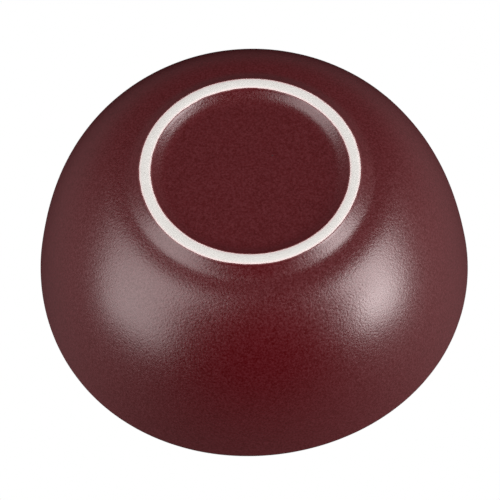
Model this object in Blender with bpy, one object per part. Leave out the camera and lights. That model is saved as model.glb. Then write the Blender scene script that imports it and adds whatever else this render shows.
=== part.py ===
"""A round stoneware bowl: one fired clay body with a turned foot ring, and the coats of glaze fused to it.

Metres, +Z up, the bowl standing on its foot. The origin is the centre of the foot ring, on the plane
that the bowl stands on. Every profile is a list of (radius, height) points that is spun about +Z.
"""

from math import atan2, cos, pi, radians, sin, tan

import bmesh
import bpy
import numpy as np

# Lip: a round bead that the outer and the inner wall both run into
LIP_CENTRE = (0.0781, 0.0626)
LIP_ROUND = 0.0019
WALL_FLARE = radians(9.45)

# Outer wall, from the lip down to the underside
WALL_PULL = 0.0587
UNDERSIDE_SLOPE = radians(20.0)
UNDERSIDE_PULL = 0.0053

# Inner wall, from the lip down to the floor
FLOOR_HEIGHT = 0.0080
FLOOR_PULL = 0.045
INNER_WALL_PULL = 0.063

# Foot ring, with its sides run down to the plane it stands on: flared outside, and a shallow well inside
FOOT_OUTER = 0.03835
FLARE_SLOPE = radians(32.7)
FLARE_HEIGHT = 0.00306
FLARE_FILLET = 0.0043
FOOT_INNER = 0.03533
WELL_SLOPE = radians(28.7)
WELL_DEPTH = 0.0025
WELL_FILLET = 0.0076
FOOT_EDGE_ROUND = 0.0015

# Coats of glaze: they stop short of the foot face, so that the bowl doesn't stick to the kiln shelf.
# The outer coat laps over the lip, and meets the inner coat at a share of the way down the inner wall.
GLAZE_LINE = 0.0003
GLAZE = 0.0004
GAP = 0.0003
LAP = 0.010

# Drying and firing leave the rim a little out of round, most in one direction: waves round the rim, depth
LEAN_DIRECTION = radians(43.5)
OUT_OF_ROUND = {2: 0.0025, 3: 0.0087, 4: 0.0054}

# Fineness of the mesh
SEGMENTS = 48
CURVE_STEPS = 12
CORNER_STEPS = 3
LIP_STEPS = 8
SHARP_ANGLE = radians(40)

BURGUNDY = (0.056, 0.0055, 0.0070)
BARE_CLAY = (0.66, 0.63, 0.60)
GLAZE_ROUGHNESS = 0.36
CLAY_ROUGHNESS = 0.85


def clear_scene():
    for item in list(bpy.data.objects):
        bpy.data.objects.remove(item, do_unlink=True)


def heading(angle):
    """A unit step at an angle above the outward direction."""
    return np.array([cos(angle), sin(angle)])


def bezier(start, start_pull, end_pull, end, shares):
    """Points at these shares of the way along a cubic curve that is pulled at each end by a vector."""
    start, end = np.array(start), np.array(end)
    near, far = start + start_pull, end + end_pull
    t = np.array(shares)[:, None]
    return (1 - t) ** 3 * start + 3 * t * (1 - t) ** 2 * near + 3 * t**2 * (1 - t) * far + t**3 * end


def arc(centre, radius, first, last, steps):
    angles = np.linspace(first, last, steps + 1)
    return np.array(centre) + radius * np.column_stack([np.cos(angles), np.sin(angles)])


def rounded_corner(before, corner, after, radius, steps):
    """An arc that rounds the corner between two straight runs."""
    corner = np.array(corner)
    run_in = corner - before
    run_out = after - corner
    run_in /= np.linalg.norm(run_in)
    run_out /= np.linalg.norm(run_out)
    turn = atan2(run_in[0] * run_out[1] - run_in[1] * run_out[0], run_in @ run_out)
    side = np.array([-run_in[1], run_in[0]]) * np.sign(turn)
    centre = corner - run_in * radius * tan(abs(turn) / 2) + side * radius
    first = atan2(-side[1], -side[0])
    return arc(centre, radius, first, first + turn, steps)


def inset(points, depth):
    """The line that lies under a surface line. The material is on the line's left."""
    along = np.gradient(points, axis=0, edge_order=2)
    along /= np.linalg.norm(along, axis=1)[:, None]
    return points + depth * np.column_stack([-along[:, 1], along[:, 0]])


def inner_wall(shares):
    """Points of the inner surface, from the lip (share 0) down to the middle of the floor (share 1)."""
    return bezier(
        np.array(LIP_CENTRE) - LIP_ROUND * heading(-WALL_FLARE),
        -INNER_WALL_PULL * heading(pi / 2 - WALL_FLARE),
        np.array([FLOOR_PULL, 0.0]),
        (0.0, FLOOR_HEIGHT),
        shares,
    )


def flare_point(height):
    """A point on the outer side of the foot ring."""
    return np.array([FOOT_OUTER + height / tan(FLARE_SLOPE), height])


def well_side_point(height):
    """A point on the inner side of the foot ring."""
    return np.array([FOOT_INNER - height / tan(WELL_SLOPE), height])


def outside_line():
    """The outer coat's surface: from the foot, over the shoulder and the lip, to its edge inside the lip."""
    foot_start = flare_point(GLAZE_LINE)
    root = flare_point(FLARE_HEIGHT)
    underside = heading(UNDERSIDE_SLOPE)
    fillet = rounded_corner(foot_start, root, root + underside, FLARE_FILLET, CORNER_STEPS)
    wall = bezier(
        fillet[-1],
        UNDERSIDE_PULL * underside,
        -WALL_PULL * heading(pi / 2 - WALL_FLARE),
        np.array(LIP_CENTRE) + LIP_ROUND * heading(-WALL_FLARE),
        np.linspace(0, 1, CURVE_STEPS + 1),
    )
    lip = arc(LIP_CENTRE, LIP_ROUND, -WALL_FLARE, pi - WALL_FLARE, LIP_STEPS)
    return np.vstack([foot_start, fillet, wall[1:], lip[1:], inner_wall([LAP])])


def inside_line():
    """The inner coat's surface: from just below the outer coat's edge down to the middle of the floor."""
    first = LAP + GAP / (3 * INNER_WALL_PULL)
    return inner_wall(np.linspace(first, 1, CURVE_STEPS + 1))


def well_line():
    """The well coat's surface: from the middle of the well out to the glaze line inside the foot ring."""
    foot_end = well_side_point(GLAZE_LINE)
    fillet = rounded_corner(
        np.array([0.0, WELL_DEPTH]), well_side_point(WELL_DEPTH), foot_end, WELL_FILLET, CORNER_STEPS
    )
    floor = np.linspace([0.0, WELL_DEPTH], fillet[0], CURVE_STEPS // 3 + 1)[:-1]
    return np.vstack([floor, fillet, foot_end])


def foot_line():
    """The bare foot, from its inner glaze line, across the face that it stands on, to its outer one."""
    inner_line, outer_line = well_side_point(GLAZE_LINE), flare_point(GLAZE_LINE)
    inner_edge, outer_edge = well_side_point(0), flare_point(0)
    inner_round = rounded_corner(inner_line, inner_edge, outer_edge, FOOT_EDGE_ROUND, CORNER_STEPS)
    outer_round = rounded_corner(inner_edge, outer_edge, outer_line, FOOT_EDGE_ROUND, CORNER_STEPS)
    return np.vstack([inner_line, inner_round, outer_round, outer_line])


def out_of_round(radius, angle, height):
    """The radius after firing: the foot stays round, and the rim strays most."""
    share = min(height / (LIP_CENTRE[1] + LIP_ROUND), 1.0)
    rise = share * share * (3 - 2 * share)
    stray = sum(depth * cos(waves * (angle - LEAN_DIRECTION)) for waves, depth in OUT_OF_ROUND.items())
    return radius * (1 + rise * stray)


def make_material(name, colour, roughness):
    material = bpy.data.materials.new(name)
    material.use_nodes = True
    shader = material.node_tree.nodes["Principled BSDF"]
    shader.inputs["Base Color"].default_value = (*colour, 1.0)
    shader.inputs["Roughness"].default_value = roughness
    shader.inputs["Metallic"].default_value = 0.0
    return material


def spun_object(name, outline, material):
    """One closed body from a profile: spun round the axis, then warped by the firing."""
    bm = bmesh.new()
    corners = [bm.verts.new((radius, 0.0, height)) for radius, height in outline]
    edges = [bm.edges.new(pair) for pair in zip(corners, corners[1:] + corners[:1])]
    on_axis = [edge for edge in edges if all(abs(v.co.x) < 1e-9 for v in edge.verts)]
    for edge in on_axis:
        bm.edges.remove(edge)
    bmesh.ops.spin(
        bm,
        geom=bm.verts[:] + bm.edges[:],
        cent=(0, 0, 0),
        axis=(0, 0, 1),
        angle=2 * pi,
        steps=SEGMENTS,
        use_merge=True,
    )
    bmesh.ops.remove_doubles(bm, verts=bm.verts[:], dist=1e-6)
    for vert in bm.verts:
        radius, angle = np.hypot(vert.co.x, vert.co.y), atan2(vert.co.y, vert.co.x)
        fired = out_of_round(radius, angle, vert.co.z)
        vert.co.x, vert.co.y = fired * cos(angle), fired * sin(angle)
    bmesh.ops.recalc_face_normals(bm, faces=bm.faces[:])
    mesh = bpy.data.meshes.new(name)
    bm.to_mesh(mesh)
    bm.free()
    mesh.materials.append(material)
    mesh.shade_smooth()
    mesh.set_sharp_from_angle(angle=SHARP_ANGLE)
    body = bpy.data.objects.new(name, mesh)
    bpy.context.scene.collection.objects.link(body)
    return body


def clay_body(material):
    """The fired clay: bare at the foot, and set back elsewhere by the glaze that lies on it."""
    under_glaze = GLAZE + GAP
    outline = np.vstack(
        [
            foot_line(),
            inset(outside_line(), under_glaze),
            inset(inside_line(), under_glaze),
            inset(well_line(), under_glaze),
        ]
    )
    outline[np.abs(outline[:, 0]) < 1e-6, 0] = 0.0
    return spun_object("clay_body", outline, material)


def glaze_coat(name, line, material):
    """A thin coat with its outer face on a finished surface."""
    return spun_object(name, np.vstack([line, inset(line, GLAZE)[::-1]]), material)


def build():
    clear_scene()
    clay = make_material("bare_clay", BARE_CLAY, CLAY_ROUGHNESS)
    burgundy = make_material("burgundy_glaze", BURGUNDY, GLAZE_ROUGHNESS)
    clay_body(clay)
    glaze_coat("outer_glaze", outside_line(), burgundy)
    glaze_coat("inner_glaze", inside_line(), burgundy)
    glaze_coat("foot_well_glaze", well_line(), burgundy)


build()
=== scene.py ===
"""A burgundy stoneware bowl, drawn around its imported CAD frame.

Each CAD solid is replaced by a finer mesh of the same turned profile: the clay with its bare foot ring,
and the three coats of glaze, with their rounded edges, a faint orange peel and a slightly wandering glaze
line. The bowl stands upright in its frame. It was photographed bottom up, so the camera looks up at it
from below, and turned over.
"""

from math import atan2, cos, pi, radians, sin, tan

import bpy
import numpy as np
from mathutils import Matrix, Vector, noise


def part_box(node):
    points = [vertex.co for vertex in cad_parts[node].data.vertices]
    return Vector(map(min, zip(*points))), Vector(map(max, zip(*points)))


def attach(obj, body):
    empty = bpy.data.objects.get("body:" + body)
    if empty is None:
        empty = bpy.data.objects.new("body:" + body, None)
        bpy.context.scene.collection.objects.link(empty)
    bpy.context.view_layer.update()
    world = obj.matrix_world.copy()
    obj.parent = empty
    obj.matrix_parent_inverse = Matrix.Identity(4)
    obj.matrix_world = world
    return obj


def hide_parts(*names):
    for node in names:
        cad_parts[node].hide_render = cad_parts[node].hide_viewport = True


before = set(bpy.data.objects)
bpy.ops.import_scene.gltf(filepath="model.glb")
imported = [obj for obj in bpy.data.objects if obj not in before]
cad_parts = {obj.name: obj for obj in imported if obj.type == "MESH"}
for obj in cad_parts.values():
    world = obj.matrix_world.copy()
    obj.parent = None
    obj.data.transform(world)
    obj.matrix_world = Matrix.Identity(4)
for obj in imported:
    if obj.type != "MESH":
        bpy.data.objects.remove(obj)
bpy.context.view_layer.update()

# ------------------------------------------------------------------ the turned shape, in metres
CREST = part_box("outer_glaze")[1].z
LIP_ROUND = 0.0019
LIP_CENTRE = np.array([0.0781, CREST - LIP_ROUND])
WALL_FLARE = radians(9.45)
WALL_PULL = 0.0587
UNDERSIDE_SLOPE = radians(20.0)
UNDERSIDE_PULL = 0.0053

FLOOR_HEIGHT = 0.0080
FLOOR_PULL = 0.045
INNER_WALL_PULL = 0.063
LAP = 0.010

# Foot ring, with its sides run down to the plane it stands on
FOOT_OUTER = 0.03827
FLARE_SLOPE = radians(32.7)
FLARE_HEIGHT = 0.00278
FLARE_FILLET = 0.0090
FOOT_INNER = 0.03533
WELL_SLOPE = radians(28.7)
WELL_DEPTH = 0.0025
WELL_SAG = 0.0002
WELL_FILLET = 0.0076
FOOT_EDGE_ROUND = 0.0015
FOOT_CROWN = 0.00022
GLAZE_LINE = 0.0003

# Coats of glaze: full depth, the gap between coat and clay, and the round nose and small roll at a free edge
GLAZE = 0.00040
CLEARANCE = 0.00002
ROLL_HEIGHT = 0.00016
ROLL_WIDTH = 0.0009
NOSE = 0.00022
EDGE_FADE = 0.0006

# A glaze line wanders: how far, and its waves, as pairs of how quickly they follow each other round the ring
# and their weight. The outer line is also tucked in on one side. The coat follows the line this far.
WANDER = 0.00010
STRAY_WAVES = ((3, 2.0), (14, 0.9))
TUCK = 0.00030
TUCK_DIRECTION = radians(210)
STRAY_REACH = 0.008

# Fired shape: the rim is a little out of round. For each number of lobes, their depth as a share of the
# radius and the direction of one of them
OUT_OF_ROUND = {2: (0.0035, radians(64.7)), 3: (0.0075, radians(47.2)), 4: (0.0050, radians(44.2))}
OUT_OF_ROUND_RISE = 1.4

# Surface relief of the fired body, of the glaze on it and of the bare clay, as pairs of a wave's size and
# its height
BODY_RELIEF = ((0.034, 0.00006), (0.013, 0.00002))
GLAZE_RELIEF = ((0.0062, 0.000010), (0.0028, 0.000006))
CLAY_RELIEF = ((0.0030, 0.000012), (0.0011, 0.000008))

# Fineness of the meshes, and of the finished line that they are taken from
SEGMENTS = 540
ANGLES = np.linspace(0, 2 * pi, SEGMENTS, endpoint=False)
POLE_RADIUS = 0.0012
CORNER_STEPS = 60
LIP_STEPS = 240
WALL_POINTS = 1200
LAP_POINTS = 20
FACE_POINTS = 60
WELL_POINTS = 400
SAME_POINT = 1e-9
SHARP_ANGLE = radians(50)

# How far from a glaze line or a seam the rings of a piece lie closer together
FLARE_RUN = 0.0075
WELL_SIDE_RUN = 0.0065
BACK_RUN = 0.006
COVERED_RUN = 0.004
SEAM_SKIN_RUN = 0.001
SEAM_BACK_RUN = 0.004
LIP_RUN = 0.0085

# How far short of its free edge a coat's back ends, and how far past each glaze line the clay's finest
# rings go on
BACK_END = 0.0005
BARE_MARGIN = 0.0003

# Colours, in linear light. Roughness and shine are each a pair, for the low and the high grain.
GLAZE_DARK = (0.0545, 0.0001, 0.0010)
GLAZE_LIGHT = (0.0605, 0.0005, 0.0018)
GLAZE_GRAIN = (0.0840, 0.0040, 0.0076)
GLAZE_THIN = (0.38, 0.15, 0.15)
GLAZE_ROUGHNESS = (0.295, 0.38)
GLAZE_IOR = 1.55
GLAZE_SHINE = (0.56, 0.775)
GLAZE_GLINT = (1.0, 0.91, 0.915)
SPECK = (0.020, 0.012, 0.012)
CLAY_WHITE = (0.66, 0.633, 0.606)
CLAY_SHADE = (0.63, 0.603, 0.578)
CLAY_GREY = (0.50, 0.48, 0.46)
CLAY_BLUSH = (0.78, 0.61, 0.60)
CLAY_ROUGHNESS = 0.8

# Patterns on the glaze and on the clay: their sizes, the depths of their bumps, and their spreads. A spread
# is the range of a pattern that is carried over to 0 to 1, or to the second range where it has one.
MOTTLE_SIZE = 0.0045
MOTTLE_SPREAD = (0.32, 0.68)
GRAIN_SIZE = 0.0007
GRAIN_SPREAD = (0.3, 0.7)
GRAIN_BUMP = 0.00005
PEBBLE_SIZE = 0.0008
PEBBLE_BUMP = 0.00002
THIN_SPREAD = (0.4, 1.0, 0.0, 0.4)
CLOUD_SIZE = 0.006
CLOUD_SPREAD = (0.3, 0.7)
CLAY_GRAIN_SIZE = 0.0007
CLAY_GRAIN_SPREAD = (0.55, 0.75, 0.0, 0.35)
BLUSH_SPREAD = (0.2, 0.9)
TOOTH_SIZE = 0.0005
TOOTH_BUMP = 0.00003

# Specks, one in this share of the cells of a pattern
GLAZE_SPECKS = {"cell": 0.011, "radius": 0.00032, "share_of_cells": 0.35}
GLAZE_SPECK_STRENGTH = 0.8
CLAY_SPECKS = {"cell": 0.0035, "radius": 0.0002, "share_of_cells": 0.3}
CLAY_SPECK_STRENGTH = 0.6

# Camera: it looks up at the bowl, and turns about its own axis by the roll
CAMERA_TILT = radians(58.55)
CAMERA_ROLL = radians(-1.565)
CAMERA_LENS = 165.9
CAMERA_DISTANCE = 0.85746
CAMERA_AIM = Vector((0, 0, 0.06313))
CAMERA_SHIFT = (-0.00100, 0.00462)

# Studio: a floor with a flat middle, a rounded sweep and a wall, lights, and the room around them
FLOOR_FLAT = 1.6
FLOOR_SWEEP = 0.9
FLOOR_WALL = 2.4
FLOOR_DROP = 0.00005
FLOOR_SEGMENTS = 160
FLOOR_PAPER = (0.72, 0.72, 0.715)
FLOOR_ROUGHNESS = 0.85
MIDDLE = Vector((0, 0, 0.03))
LIGHT_DISTANCE = 1.5
PAPER_WHITE = 1.0
ROOM_ABOVE = 0.30
# The dim room round the photographed side: an even part, a ceiling that grows darker from front to back, and
# for each axis a slope and a share of its positive half squared
ROOM_BELOW = {
    "even": 0.319,
    "ceiling": 0.582,
    "x": (-0.034, 0.0),
    "y": (0.480, -0.628),
    "z": (0.242, -0.477),
}


# ------------------------------------------------------------------ profile tools
def heading(angle):
    """A unit step at an angle above the outward direction."""
    return np.array([cos(angle), sin(angle)])


def bezier(start, start_pull, end_pull, end, shares):
    """Points at these shares of the way along a cubic curve that is pulled at each end by a vector."""
    start, end = np.array(start), np.array(end)
    near, far = start + start_pull, end + end_pull
    t = np.array(shares)[:, None]
    return (1 - t) ** 3 * start + 3 * t * (1 - t) ** 2 * near + 3 * t**2 * (1 - t) * far + t**3 * end


def arc(centre, radius, first, last, steps=CORNER_STEPS):
    angles = np.linspace(first, last, steps + 1)
    return np.array(centre) + radius * np.column_stack([np.cos(angles), np.sin(angles)])


def rounded_corner(before, corner, after, radius):
    """An arc that rounds the corner between two straight runs."""
    run_in = (corner - before) / np.linalg.norm(corner - before)
    run_out = (after - corner) / np.linalg.norm(after - corner)
    turn = atan2(run_in[0] * run_out[1] - run_in[1] * run_out[0], run_in @ run_out)
    side = np.array([-run_in[1], run_in[0]]) * np.sign(turn)
    centre = corner - run_in * radius * tan(abs(turn) / 2) + side * radius
    first = atan2(-side[1], -side[0])
    return arc(centre, radius, first, first + turn)


def length_of(line):
    """The length of a line of points."""
    return np.linalg.norm(np.diff(line, axis=0), axis=1).sum()


def smooth_step(share):
    """From 0 to 1 as the share does, with no slope at either end."""
    share = np.clip(share, 0, 1)
    return share * share * (3 - 2 * share)


# ------------------------------------------------------------------ the finished surface
# Each of its lines is a list of (radius, height) points.
def flare_point(height):
    """A point on the outer side of the foot ring."""
    return np.array([FOOT_OUTER + height / tan(FLARE_SLOPE), height])


def well_side_point(height):
    """A point on the inner side of the foot ring."""
    return np.array([FOOT_INNER - height / tan(WELL_SLOPE), height])


def well_line():
    """From the middle of the well to the glaze line inside the foot."""
    foot_end = well_side_point(GLAZE_LINE)
    fillet = rounded_corner(np.array([0.0, WELL_DEPTH]), well_side_point(WELL_DEPTH), foot_end, WELL_FILLET)
    floor = np.linspace([0.0, WELL_DEPTH], fillet[0], WELL_POINTS)[:-1]
    floor[:, 1] -= WELL_SAG * (1 - (floor[:, 0] / fillet[0][0]) ** 2) ** 2
    return np.vstack([floor, fillet, foot_end])


def bare_foot_line():
    """From the inner glaze line, across the slightly domed face that the bowl stands on, to the outer one."""
    inner_line, outer_line = well_side_point(GLAZE_LINE), flare_point(GLAZE_LINE)
    inner_edge, outer_edge = well_side_point(0), flare_point(0)
    inner_round = rounded_corner(inner_line, inner_edge, outer_edge, FOOT_EDGE_ROUND)
    outer_round = rounded_corner(inner_edge, outer_edge, outer_line, FOOT_EDGE_ROUND)
    face = np.linspace(inner_round[-1], outer_round[0], FACE_POINTS)[1:-1]
    line = np.vstack([inner_line, inner_round, face, outer_round, outer_line])
    middle, half = (inner_line[0] + outer_line[0]) / 2, (outer_line[0] - inner_line[0]) / 2
    line[:, 1] += FOOT_CROWN * ((line[:, 0] - middle) / half) ** 2 * (1 - line[:, 1] / GLAZE_LINE)
    return line


def inner_wall(shares):
    """The inner surface, from the lip (share 0) down to the middle of the floor (share 1)."""
    return bezier(
        LIP_CENTRE - LIP_ROUND * heading(-WALL_FLARE),
        -INNER_WALL_PULL * heading(pi / 2 - WALL_FLARE),
        np.array([FLOOR_PULL, 0.0]),
        (0.0, FLOOR_HEIGHT),
        shares,
    )


def outside_line():
    """From the glaze line on the foot, over the shoulder and the lip, to the coat's edge inside the lip."""
    foot_start, root = flare_point(GLAZE_LINE), flare_point(FLARE_HEIGHT)
    underside = heading(UNDERSIDE_SLOPE)
    fillet = rounded_corner(foot_start, root, root + underside, FLARE_FILLET)
    wall = bezier(
        fillet[-1],
        UNDERSIDE_PULL * underside,
        -WALL_PULL * heading(pi / 2 - WALL_FLARE),
        LIP_CENTRE + LIP_ROUND * heading(-WALL_FLARE),
        np.linspace(0, 1, WALL_POINTS),
    )
    lip = arc(LIP_CENTRE, LIP_ROUND, -WALL_FLARE, pi - WALL_FLARE, LIP_STEPS)
    return np.vstack([foot_start, fillet, wall, lip, inner_wall(np.linspace(0, LAP, LAP_POINTS))])


def inside_line():
    """From the outer coat's edge inside the lip down to the middle of the floor."""
    return inner_wall(np.linspace(LAP, 1, WALL_POINTS))


# The whole surface as one line, and the distances along it where one piece gives way to the next
FINISHED = np.vstack([well_line(), bare_foot_line(), outside_line(), inside_line()])
is_new = np.linalg.norm(np.diff(FINISHED, axis=0), axis=1) > SAME_POINT
FINISHED = FINISHED[np.concatenate([[True], is_new])]
RUN = np.concatenate([[0], np.cumsum(np.linalg.norm(np.diff(FINISHED, axis=0), axis=1))])
WELL_EDGE = length_of(well_line())
FOOT_EDGE = WELL_EDGE + length_of(bare_foot_line())
SEAM = FOOT_EDGE + length_of(outside_line())
FLOOR_END = RUN[-1]


def point_at(stations):
    """(radius, height) on the finished line, at these distances along it."""
    return np.stack([np.interp(stations, RUN, FINISHED[:, k]) for k in (0, 1)], -1)


def marks(start, *stretches):
    """Evenly spaced numbers from the start through each stretch, given as (its end, its steps)."""
    found = [np.array([start])]
    for end, steps in stretches:
        found.append(np.linspace(found[-1][-1], end, steps + 1)[1:])
    return np.concatenate(found)


# ------------------------------------------------------------------ glaze
def wander(seed):
    """How far a glaze line strays along the foot's wall at each angle."""
    stray = np.zeros(SEGMENTS)
    for rate, weight in STRAY_WAVES:
        wave = [noise.noise(Vector((rate * cos(a), rate * sin(a), seed))) for a in ANGLES]
        stray += weight * np.array(wave)
    return WANDER * stray


WELL_STRAY = wander(2.5)
FOOT_STRAY = wander(7.5) - TUCK * np.maximum(np.cos(ANGLES - TUCK_DIRECTION), 0) ** 2


def coat_depth(run):
    """How thick the glaze lies over the clay, by the distance from its free edge on the foot."""
    return GLAZE * smooth_step(run / (3 * ROLL_WIDTH))


def edge_lift(run):
    """How far a coat's skin stands out of the surface by its free edge: a round nose, then a roll."""
    nose = np.sqrt(1 - (1 - np.clip(run / NOSE, 0, 1)) ** 2)
    roll = ROLL_HEIGHT * (1 - smooth_step((run - NOSE) / ROLL_WIDTH))
    return nose * (roll + CLEARANCE) - CLEARANCE


# ------------------------------------------------------------------ meshes
def relief(points, waves):
    """The height of the surface relief at each point: the same wherever two pieces meet."""
    total = np.zeros(len(points))
    for size, height in waves:
        total += height * np.array([noise.noise(Vector(point / size)) for point in points])
    return total


def fired(points):
    """The points after firing: the foot stays round and the rim doesn't quite."""
    angle = np.arctan2(points[..., 1], points[..., 0])
    rise = smooth_step(points[..., 2] / CREST) ** OUT_OF_ROUND_RISE
    stray = sum(depth * np.cos(lobes * (angle - way)) for lobes, (depth, way) in OUT_OF_ROUND.items())
    out = points.copy()
    out[..., :2] *= (1 + rise * stray)[..., None]
    return out


def spun_rings(stations, lift, fine_share, fine_waves):
    """Rings of points around +Z at these distances along the finished line, lifted out of the surface.

    stations, lift and fine_share have a row for each ring and a column for each segment. fine_share is how
    much of the fine relief shows.
    """
    reach = 2e-5
    along = point_at(stations + reach) - point_at(stations - reach)
    along /= np.linalg.norm(along, axis=-1, keepdims=True)
    out_r, out_z = along[..., 1], -along[..., 0]
    flat = point_at(stations)
    turn = np.stack([np.cos(ANGLES), np.sin(ANGLES)], -1)[None]
    place = np.concatenate([flat[..., :1] * turn, flat[..., 1:]], -1)
    outward = np.concatenate([out_r[..., None] * turn, out_z[..., None]], -1)
    spots = place.reshape(-1, 3)
    height = lift + relief(spots, BODY_RELIEF).reshape(lift.shape)
    height += fine_share * relief(spots, fine_waves).reshape(lift.shape)
    return fired(place + outward * height[..., None])


def signed_volume(mesh):
    """The volume inside a closed mesh: below 0 if its faces point inwards."""
    mesh.calc_loop_triangles()
    corners = np.empty(len(mesh.loop_triangles) * 3, np.int32)
    mesh.loop_triangles.foreach_get("vertices", corners)
    points = np.empty(len(mesh.vertices) * 3, np.float32)
    mesh.vertices.foreach_get("co", points)
    a, b, c = points.reshape(-1, 3)[corners].reshape(-1, 3, 3).transpose(1, 0, 2)
    return float((a * np.cross(b, c)).sum()) / 6


def closed_piece(name, rings, near_edge, material, nodes):
    """A closed body through rings of points. Rings that start at the axis get a pole at each end."""
    count, around = rings.shape[:2]
    points = rings.reshape(-1, 3)
    index = np.arange(count * around).reshape(count, around)
    at_axis = np.hypot(*rings[0, 0, :2]) < 2 * POLE_RADIUS
    here, onward = (index[:-1], index[1:]) if at_axis else (index, np.roll(index, -1, 0))
    faces = np.stack([here, onward, np.roll(onward, -1, 1), np.roll(here, -1, 1)], -1).reshape(-1, 4).tolist()
    shares = near_edge.reshape(-1)
    if at_axis:
        first, last = len(points), len(points) + 1
        points = np.vstack([points, rings[0].mean(0), rings[-1].mean(0)])
        shares = np.append(shares, [0.0, 0.0])
        for a, b in zip(index[0], np.roll(index[0], -1)):
            faces.append([first, a, b])
        for a, b in zip(index[-1], np.roll(index[-1], -1)):
            faces.append([last, b, a])
    mesh = bpy.data.meshes.new(name)
    mesh.from_pydata(points.tolist(), [], faces)
    mesh.attributes.new("near_edge", "FLOAT", "POINT").data.foreach_set("value", shares.astype(np.float32))
    mesh.materials.append(material)
    if signed_volume(mesh) < 0:
        mesh.flip_normals()
    mesh.shade_smooth()
    mesh.set_sharp_from_angle(angle=SHARP_ANGLE)
    piece = bpy.data.objects.new(name, mesh)
    bpy.context.scene.collection.objects.link(piece)
    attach(piece, "root")
    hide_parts(*nodes)
    return piece


def grid(row_values):
    """A value for each ring, repeated for every segment."""
    return np.repeat(np.asarray(row_values)[:, None], SEGMENTS, 1)


def nearness(run):
    """1 at a glaze line, falling off with the distance from it."""
    return np.exp(-np.maximum(run, 0) / EDGE_FADE)


def free_edged_coat(edge, stray, side, skin, back):
    """Rings of a coat from its free edge on the foot: out along the skin, then back underneath it.

    skin and back are distances from the free edge. side is 1 along the finished line and -1 against it.
    """
    runs = grid(np.concatenate([skin, back]))
    stations = edge + side * runs + stray[None] * (1 - smooth_step(runs / STRAY_REACH))
    is_skin = grid(np.arange(len(runs)) < len(skin))
    lift = np.where(is_skin, edge_lift(runs), -coat_depth(runs) - CLEARANCE)
    fine_share = np.where(is_skin, smooth_step(runs / (2 * ROLL_WIDTH)), 0)
    return spun_rings(stations, lift, fine_share, GLAZE_RELIEF), nearness(runs)


def skin_marks(side_run, *stretches):
    """Distances from a coat's free edge along its skin, closest together over the rounded edge."""
    return marks(0, (NOSE, 6), (NOSE + ROLL_WIDTH, 8), (side_run, 14), *stretches)


def outer_glaze(material):
    """The coat on the outside: from the foot, over the lip, to its seam with the inner coat."""
    length = SEAM - FOOT_EDGE
    lip = length - LIP_RUN
    skin = skin_marks(FLARE_RUN, (lip, 82), (length, 26))
    back = marks(length, (lip, 14), (BACK_RUN, 16), (BACK_END, 7))
    rings, near = free_edged_coat(FOOT_EDGE, FOOT_STRAY, 1, skin, back)
    return closed_piece("outer_glaze_skin", rings, near, material, ["outer_glaze"])


def foot_well_glaze(material):
    """The coat in the well: an island inside the foot ring."""
    length = WELL_EDGE - POLE_RADIUS
    skin = skin_marks(WELL_SIDE_RUN, (length, 34))
    back = marks(length, (BACK_RUN, 8), (BACK_END, 7))
    rings, near = free_edged_coat(WELL_EDGE, WELL_STRAY, -1, skin, back)
    # the loop starts at the axis, so that a pole closes each of its ends
    shift = len(skin) - len(rings)
    rings, near = np.roll(rings[::-1], shift, 0), np.roll(near[::-1], shift, 0)
    return closed_piece("foot_well_glaze_skin", rings, near, material, ["foot_well_glaze"])


def inner_glaze(material):
    """The coat on the inside: from the middle of the floor up to its seam with the outer coat."""
    last = FLOOR_END - POLE_RADIUS
    skin = marks(last, (SEAM + SEAM_SKIN_RUN, 92), (SEAM, 2))
    back = marks(SEAM, (SEAM + SEAM_BACK_RUN, 3), (last, 20))
    stations = grid(np.concatenate([skin, back]))
    is_skin = grid(np.arange(len(stations)) < len(skin))
    lift = np.where(is_skin, 0, -GLAZE - CLEARANCE)
    rings = spun_rings(stations, lift, is_skin * 1.0, GLAZE_RELIEF)
    return closed_piece("inner_glaze_skin", rings, 0 * lift, material, ["inner_glaze"])


def clay_body(material):
    """The whole fired body: bare on the foot ring, and under the glaze everywhere else."""
    lip_start = SEAM - LIP_RUN
    stations = grid(
        marks(
            POLE_RADIUS,
            (WELL_EDGE - COVERED_RUN, 10),
            (WELL_EDGE - BARE_MARGIN, 9),
            (FOOT_EDGE + BARE_MARGIN, 52),
            (FOOT_EDGE + COVERED_RUN, 9),
            (lip_start, 22),
            (SEAM, 14),
            (FLOOR_END - POLE_RADIUS, 24),
        )
    )
    past_well_line = WELL_EDGE + WELL_STRAY[None] - stations
    past_foot_line = stations - FOOT_EDGE - FOOT_STRAY[None]
    covered = np.maximum(past_well_line, past_foot_line)
    fine_share = 1 - smooth_step(covered / ROLL_WIDTH)
    rings = spun_rings(stations, -coat_depth(covered), fine_share, CLAY_RELIEF)
    return closed_piece("clay_body_fired", rings, nearness(-covered), material, ["clay_body"])


# ------------------------------------------------------------------ materials
def new_material(name):
    """A material, its nodes, its links and its Principled shader."""
    material = bpy.data.materials.new(name)
    material.use_nodes = True
    tree = material.node_tree
    return material, tree.nodes, tree.links, tree.nodes["Principled BSDF"]


def noise_map(nodes, links, place, size, detail=2.0, rough=0.5):
    """The output of a noise texture whose grain has this size, in metres."""
    texture = nodes.new("ShaderNodeTexNoise")
    texture.inputs["Scale"].default_value = 1 / size
    texture.inputs["Detail"].default_value = detail
    texture.inputs["Roughness"].default_value = rough
    links.new(place, texture.inputs["Vector"])
    return texture.outputs["Fac"]


def cell_map(nodes, links, place, size):
    """Distance from the nearest cell centre, and the cell's random colour, for cells of this size."""
    texture = nodes.new("ShaderNodeTexVoronoi")
    texture.inputs["Scale"].default_value = 1 / size
    links.new(place, texture.inputs["Vector"])
    return texture.outputs["Distance"], texture.outputs["Color"]


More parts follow.
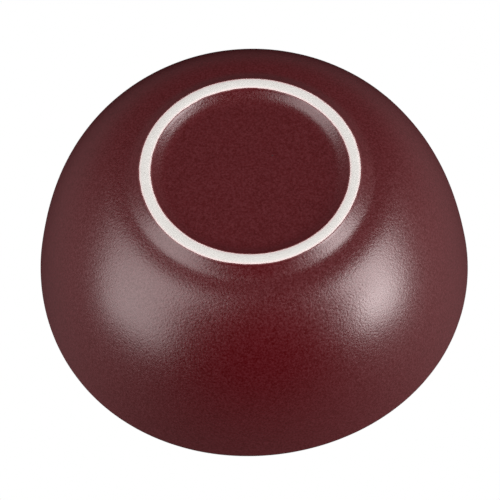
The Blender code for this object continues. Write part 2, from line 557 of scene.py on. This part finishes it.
def remap(nodes, links, value, low, high, to_low=0.0, to_high=1.0):
    """A value from one range carried over to another, and kept inside it."""
    mapping = nodes.new("ShaderNodeMapRange")
    links.new(value, mapping.inputs["Value"])
    for key, number in (("From Min", low), ("From Max", high), ("To Min", to_low), ("To Max", to_high)):
        mapping.inputs[key].default_value = number
    return mapping.outputs["Result"]


def math_node(nodes, links, operation, first, second):
    """The result of a sum on two values, each a socket or a number."""
    node = nodes.new("ShaderNodeMath")
    node.operation = operation
    for socket, value in zip(node.inputs, (first, second)):
        if isinstance(value, (int, float)):
            socket.default_value = value
        else:
            links.new(value, socket)
    return node.outputs["Value"]


def mix_colour(nodes, links, share, first, second):
    """A blend of two colours, each a socket or an (r, g, b) tuple. The share is a socket or a number."""
    node = nodes.new("ShaderNodeMix")
    node.data_type = "RGBA"
    # the colour sockets share their names with others on this node, so they are found by their places
    for socket, value in zip((node.inputs["Factor"], node.inputs[6], node.inputs[7]), (share, first, second)):
        if isinstance(value, float):
            socket.default_value = value
        elif isinstance(value, tuple):
            socket.default_value = (*value, 1.0)
        else:
            links.new(value, socket)
    return node.outputs[2]


def bump(nodes, links, height, depth, under=None):
    """A bump of this depth in metres, on top of another bump if one is given."""
    node = nodes.new("ShaderNodeBump")
    node.inputs["Distance"].default_value = depth
    links.new(height, node.inputs["Height"])
    if under is not None:
        links.new(under, node.inputs["Normal"])
    return node.outputs["Normal"]


def object_place(nodes):
    """The place on the object, in metres."""
    return nodes.new("ShaderNodeTexCoord").outputs["Object"]


def edge_share(nodes):
    """1 at a glaze line, falling off with the distance from it."""
    node = nodes.new("ShaderNodeAttribute")
    node.attribute_name = "near_edge"
    return node.outputs["Fac"]


def specks(nodes, links, place, cell, radius, share_of_cells):
    """1 inside small round specks, one in some of the cells of this size, and 0 elsewhere."""
    distance, colour = cell_map(nodes, links, place, cell)
    split = nodes.new("ShaderNodeSeparateColor")
    links.new(colour, split.inputs["Color"])
    chosen = math_node(nodes, links, "LESS_THAN", split.outputs["Red"], share_of_cells)
    size = remap(nodes, links, split.outputs["Green"], 0.0, 1.0, radius * 0.5, radius)
    inside = math_node(nodes, links, "LESS_THAN", distance, math_node(nodes, links, "DIVIDE", size, cell))
    return math_node(nodes, links, "MULTIPLY", chosen, inside)


def glaze_material():
    """Satin burgundy glaze: a fine pebbly skin, mottled a little, thinner and pinker at its edges."""
    material, nodes, links, shader = new_material("burgundy_glaze")
    place = object_place(nodes)
    mottle = remap(nodes, links, noise_map(nodes, links, place, MOTTLE_SIZE, 3.0), *MOTTLE_SPREAD)
    grain = noise_map(nodes, links, place, GRAIN_SIZE, 1.0)
    colour = mix_colour(nodes, links, mottle, GLAZE_DARK, GLAZE_LIGHT)
    grain_share = remap(nodes, links, grain, *GRAIN_SPREAD)
    colour = mix_colour(nodes, links, grain_share, colour, GLAZE_GRAIN)
    thin = remap(nodes, links, edge_share(nodes), *THIN_SPREAD)
    colour = mix_colour(nodes, links, thin, colour, GLAZE_THIN)
    dots = specks(nodes, links, place, **GLAZE_SPECKS)
    dark = math_node(nodes, links, "MULTIPLY", dots, GLAZE_SPECK_STRENGTH)
    colour = mix_colour(nodes, links, dark, colour, SPECK)
    links.new(colour, shader.inputs["Base Color"])
    links.new(remap(nodes, links, grain, *GRAIN_SPREAD, *GLAZE_ROUGHNESS), shader.inputs["Roughness"])
    shader.inputs["IOR"].default_value = GLAZE_IOR
    shine = remap(nodes, links, grain, *GRAIN_SPREAD, *GLAZE_SHINE)
    links.new(shine, shader.inputs["Specular IOR Level"])
    shader.inputs["Specular Tint"].default_value = (*GLAZE_GLINT, 1)
    pebbles, _ = cell_map(nodes, links, place, PEBBLE_SIZE)
    skin = bump(nodes, links, grain, GRAIN_BUMP)
    skin = bump(nodes, links, pebbles, PEBBLE_BUMP, skin)
    links.new(skin, shader.inputs["Normal"])
    return material


def clay_material():
    """White fired clay, bare and matt: a fine tooth, a few grey specks, and a blush beside the glaze."""
    material, nodes, links, shader = new_material("bare_white_clay")
    place = object_place(nodes)
    cloud = remap(nodes, links, noise_map(nodes, links, place, CLOUD_SIZE, 3.0), *CLOUD_SPREAD)
    colour = mix_colour(nodes, links, cloud, CLAY_SHADE, CLAY_WHITE)
    grain = noise_map(nodes, links, place, CLAY_GRAIN_SIZE)
    fine = remap(nodes, links, grain, *CLAY_GRAIN_SPREAD)
    colour = mix_colour(nodes, links, fine, colour, CLAY_GREY)
    blush = remap(nodes, links, edge_share(nodes), *BLUSH_SPREAD)
    colour = mix_colour(nodes, links, blush, colour, CLAY_BLUSH)
    dots = specks(nodes, links, place, **CLAY_SPECKS)
    dark = math_node(nodes, links, "MULTIPLY", dots, CLAY_SPECK_STRENGTH)
    colour = mix_colour(nodes, links, dark, colour, SPECK)
    links.new(colour, shader.inputs["Base Color"])
    shader.inputs["Roughness"].default_value = CLAY_ROUGHNESS
    tooth = noise_map(nodes, links, place, TOOTH_SIZE, 3.0, 0.6)
    links.new(bump(nodes, links, tooth, TOOTH_BUMP), shader.inputs["Normal"])
    return material


# ------------------------------------------------------------------ studio
def camera_below(target, path, value_below, value_above):
    """Drives a property from the height of the camera: one value while it is below the floor, one above."""
    curve = target.driver_add(path)
    height = curve.driver.variables.new()
    height.name = "height"
    height.type = "TRANSFORMS"
    height.targets[0].id = bpy.context.scene.camera
    height.targets[0].transform_type = "LOC_Z"
    height.targets[0].transform_space = "WORLD_SPACE"
    curve.driver.expression = f"{value_below} if height < 0 else {value_above}"


def softbox(name, below, radiance, way, half_size, roll=0.0):
    """A rectangular light aimed at the bowl, lit only for a camera on its own side of the floor.

    way is the azimuth and elevation that it stands at, in degrees. half_size is half its width and half its
    height, as tangents seen from the bowl.
    """
    lamp = bpy.data.lights.new(name, "AREA")
    lamp.shape = "RECTANGLE"
    lamp.size, lamp.size_y = 2 * half_size[0] * LIGHT_DISTANCE, 2 * half_size[1] * LIGHT_DISTANCE
    azimuth, elevation, roll = radians(way[0]), radians(way[1]), radians(roll)
    back = Vector((sin(azimuth) * cos(elevation), -cos(azimuth) * cos(elevation), sin(elevation)))
    level = Vector((cos(azimuth), sin(azimuth), 0.0))
    upward = back.cross(level)
    across = cos(roll) * level + sin(roll) * upward
    turn = Matrix((across, back.cross(across), back)).transposed().to_4x4()
    light = bpy.data.objects.new(name, lamp)
    light.matrix_world = Matrix.Translation(MIDDLE + back * LIGHT_DISTANCE) @ turn
    light.visible_camera = False
    bpy.context.scene.collection.objects.link(light)
    power = radiance * pi * lamp.size * lamp.size_y
    camera_below(lamp, "energy", power if below else 0.0, 0.0 if below else power)
    return light


def add_camera():
    """The photographed view: from below, and turned over so that the foot is at the top."""
    forward = Vector((0, cos(CAMERA_TILT), sin(CAMERA_TILT)))
    level, steep = Vector((-1, 0, 0)), Vector((0, sin(CAMERA_TILT), -cos(CAMERA_TILT)))
    right = cos(CAMERA_ROLL) * level + sin(CAMERA_ROLL) * steep
    up = -sin(CAMERA_ROLL) * level + cos(CAMERA_ROLL) * steep
    lens = bpy.data.cameras.new("camera")
    lens.lens = CAMERA_LENS
    camera = bpy.data.objects.new("camera", lens)
    place = CAMERA_AIM + CAMERA_SHIFT[0] * right + CAMERA_SHIFT[1] * up - CAMERA_DISTANCE * forward
    camera.matrix_world = Matrix.Translation(place) @ Matrix((right, up, -forward)).transposed().to_4x4()
    bpy.context.scene.collection.objects.link(camera)
    bpy.context.scene.camera = camera


def add_floor():
    """A pale floor that curves up into a round wall: shown only to a camera above it."""
    line = [(0.0, 0.0), (0.25, 0.0), (0.8, 0.0)]
    for turn in np.linspace(0, pi / 2, 25):
        line.append((FLOOR_FLAT + FLOOR_SWEEP * sin(turn), FLOOR_SWEEP * (1 - cos(turn))))
    line.append((FLOOR_FLAT + FLOOR_SWEEP, FLOOR_WALL))
    around = FLOOR_SEGMENTS
    points, faces = [], []
    for radius, height in line:
        for step in range(around):
            angle = 2 * pi * step / around
            points.append((radius * cos(angle), radius * sin(angle), height - FLOOR_DROP))
    for ring in range(len(line) - 1):
        for step in range(around):
            a, b = ring * around + step, ring * around + (step + 1) % around
            faces.append((a, a + around, b + around, b))
    mesh = bpy.data.meshes.new("floor")
    mesh.from_pydata(points, [], faces)
    mesh.shade_smooth()
    material, _, _, shader = new_material("floor_paper")
    shader.inputs["Base Color"].default_value = (*FLOOR_PAPER, 1)
    shader.inputs["Roughness"].default_value = FLOOR_ROUGHNESS
    mesh.materials.append(material)
    floor = bpy.data.objects.new("floor", mesh)
    bpy.context.scene.collection.objects.link(floor)
    camera_below(floor, "hide_render", 1, 0)


def room_glow(nodes, links):
    """How bright the dim room below the floor is in each direction."""
    direction = nodes.new("ShaderNodeSeparateXYZ")
    links.new(nodes.new("ShaderNodeTexCoord").outputs["Generated"], direction.inputs["Vector"])
    glow = ROOM_BELOW["even"]
    for socket, name in zip(direction.outputs, ("x", "y", "z")):
        ahead = math_node(nodes, links, "MAXIMUM", socket, 0.0)
        squared = math_node(nodes, links, "MULTIPLY", ahead, ahead)
        along, bent = ROOM_BELOW[name]
        glow = math_node(nodes, links, "ADD", glow, math_node(nodes, links, "MULTIPLY", socket, along))
        glow = math_node(nodes, links, "ADD", glow, math_node(nodes, links, "MULTIPLY", squared, bent))
    _, y, z = direction.outputs
    ceiling = math_node(nodes, links, "MULTIPLY", math_node(nodes, links, "MAXIMUM", z, 0.0), y)
    ceiling = math_node(nodes, links, "MULTIPLY", ceiling, ROOM_BELOW["ceiling"])
    glow = math_node(nodes, links, "SUBTRACT", glow, ceiling)
    return math_node(nodes, links, "MAXIMUM", glow, 0.0)


def add_world():
    """White to the camera. The rest of the light is a dim room below the floor, and a pale one above."""
    world = bpy.data.worlds.new("studio")
    bpy.context.scene.world = world
    world.use_nodes = True
    nodes, links = world.node_tree.nodes, world.node_tree.links
    nodes.clear()
    out = nodes.new("ShaderNodeOutputWorld")
    to_camera = nodes.new("ShaderNodeLightPath").outputs["Is Camera Ray"]
    shown, around = nodes.new("ShaderNodeBackground"), nodes.new("ShaderNodeBackground")
    shown.inputs["Color"].default_value = (PAPER_WHITE, PAPER_WHITE, PAPER_WHITE, 1)
    side = nodes.new("ShaderNodeValue")
    camera_below(side.outputs[0], "default_value", 1.0, 0.0)
    strength = nodes.new("ShaderNodeMix")
    links.new(side.outputs[0], strength.inputs["Factor"])
    strength.inputs["A"].default_value = ROOM_ABOVE
    links.new(room_glow(nodes, links), strength.inputs["B"])
    links.new(strength.outputs["Result"], around.inputs["Strength"])
    mix = nodes.new("ShaderNodeMixShader")
    links.new(to_camera, mix.inputs["Fac"])
    links.new(around.outputs[0], mix.inputs[1])
    links.new(shown.outputs[0], mix.inputs[2])
    links.new(mix.outputs[0], out.inputs["Surface"])


def add_lights():
    """Two softboxes for the photographed side, the right one with a brighter heart, and three from above."""
    softbox("below_right", True, 8.6, way=(-71.2, -24.0), half_size=(0.238, 0.634), roll=-15.4)
    softbox("below_right_heart", True, 5.0, way=(-61.0, -13.0), half_size=(0.10, 0.15), roll=-15.4)
    softbox("below_left", True, 3.94, way=(68.2, -30.1), half_size=(0.396, 0.817), roll=14.3)
    softbox("above_key", False, 4.2, way=(-52.0, 38.0), half_size=(0.42, 0.60))
    softbox("above_fill", False, 3.4, way=(62.0, 38.0), half_size=(0.30, 0.45))
    softbox("above_back", False, 3.0, way=(172.0, 45.0), half_size=(0.42, 0.40))


def build():
    glaze = glaze_material()
    clay = clay_material()
    clay_body(clay)
    outer_glaze(glaze)
    inner_glaze(glaze)
    foot_well_glaze(glaze)
    add_camera()
    add_world()
    add_floor()
    add_lights()
    bpy.context.scene.view_settings.view_transform = "Standard"


build()
